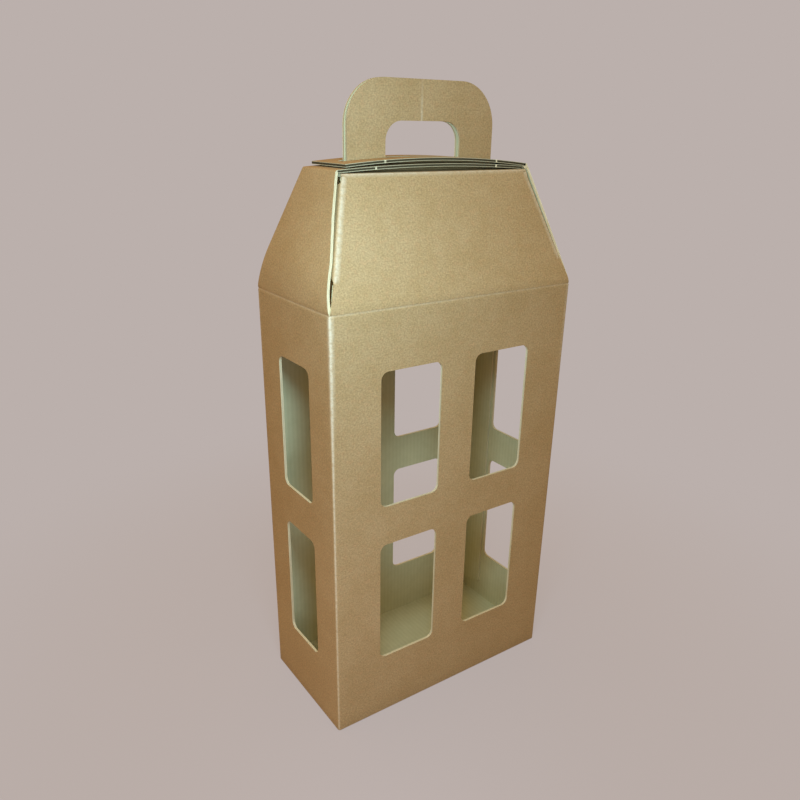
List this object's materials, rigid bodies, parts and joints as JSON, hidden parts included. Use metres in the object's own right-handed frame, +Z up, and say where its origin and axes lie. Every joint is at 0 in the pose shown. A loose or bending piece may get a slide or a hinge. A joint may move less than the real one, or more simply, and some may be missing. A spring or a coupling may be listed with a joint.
{
  "type": "bottle shipping box",
  "caption": "Folded kraft cardboard carrier for two bottles, with cut-out windows, a sloping roof, slotted top flaps and a carrying handle.",
  "frame": {"origin": "Middle of the rectangle that the underside covers, on the surface the carton stands on.", "axes": "+Z is up. +X runs along the wide front towards the end whose flap lies uppermost. The front looks along -Y."},
  "size_m": [0.18, 0.09, 0.403],
  "materials": {
    "kraft_board": "matt brown kraft liner"
  },
  "bodies": {
    "box": {"carton": "kraft_board"},
    "flap": {"top_flap": "kraft_board"}
  },
  "joints": [
    {"name": "top_flap_hinge", "type": "hinge", "parent": "box", "child": "flap", "pos_m": [0.06757, 0, 0.3562], "axis": [0, 1, 0], "range_deg": [0, 120]}
  ]
}
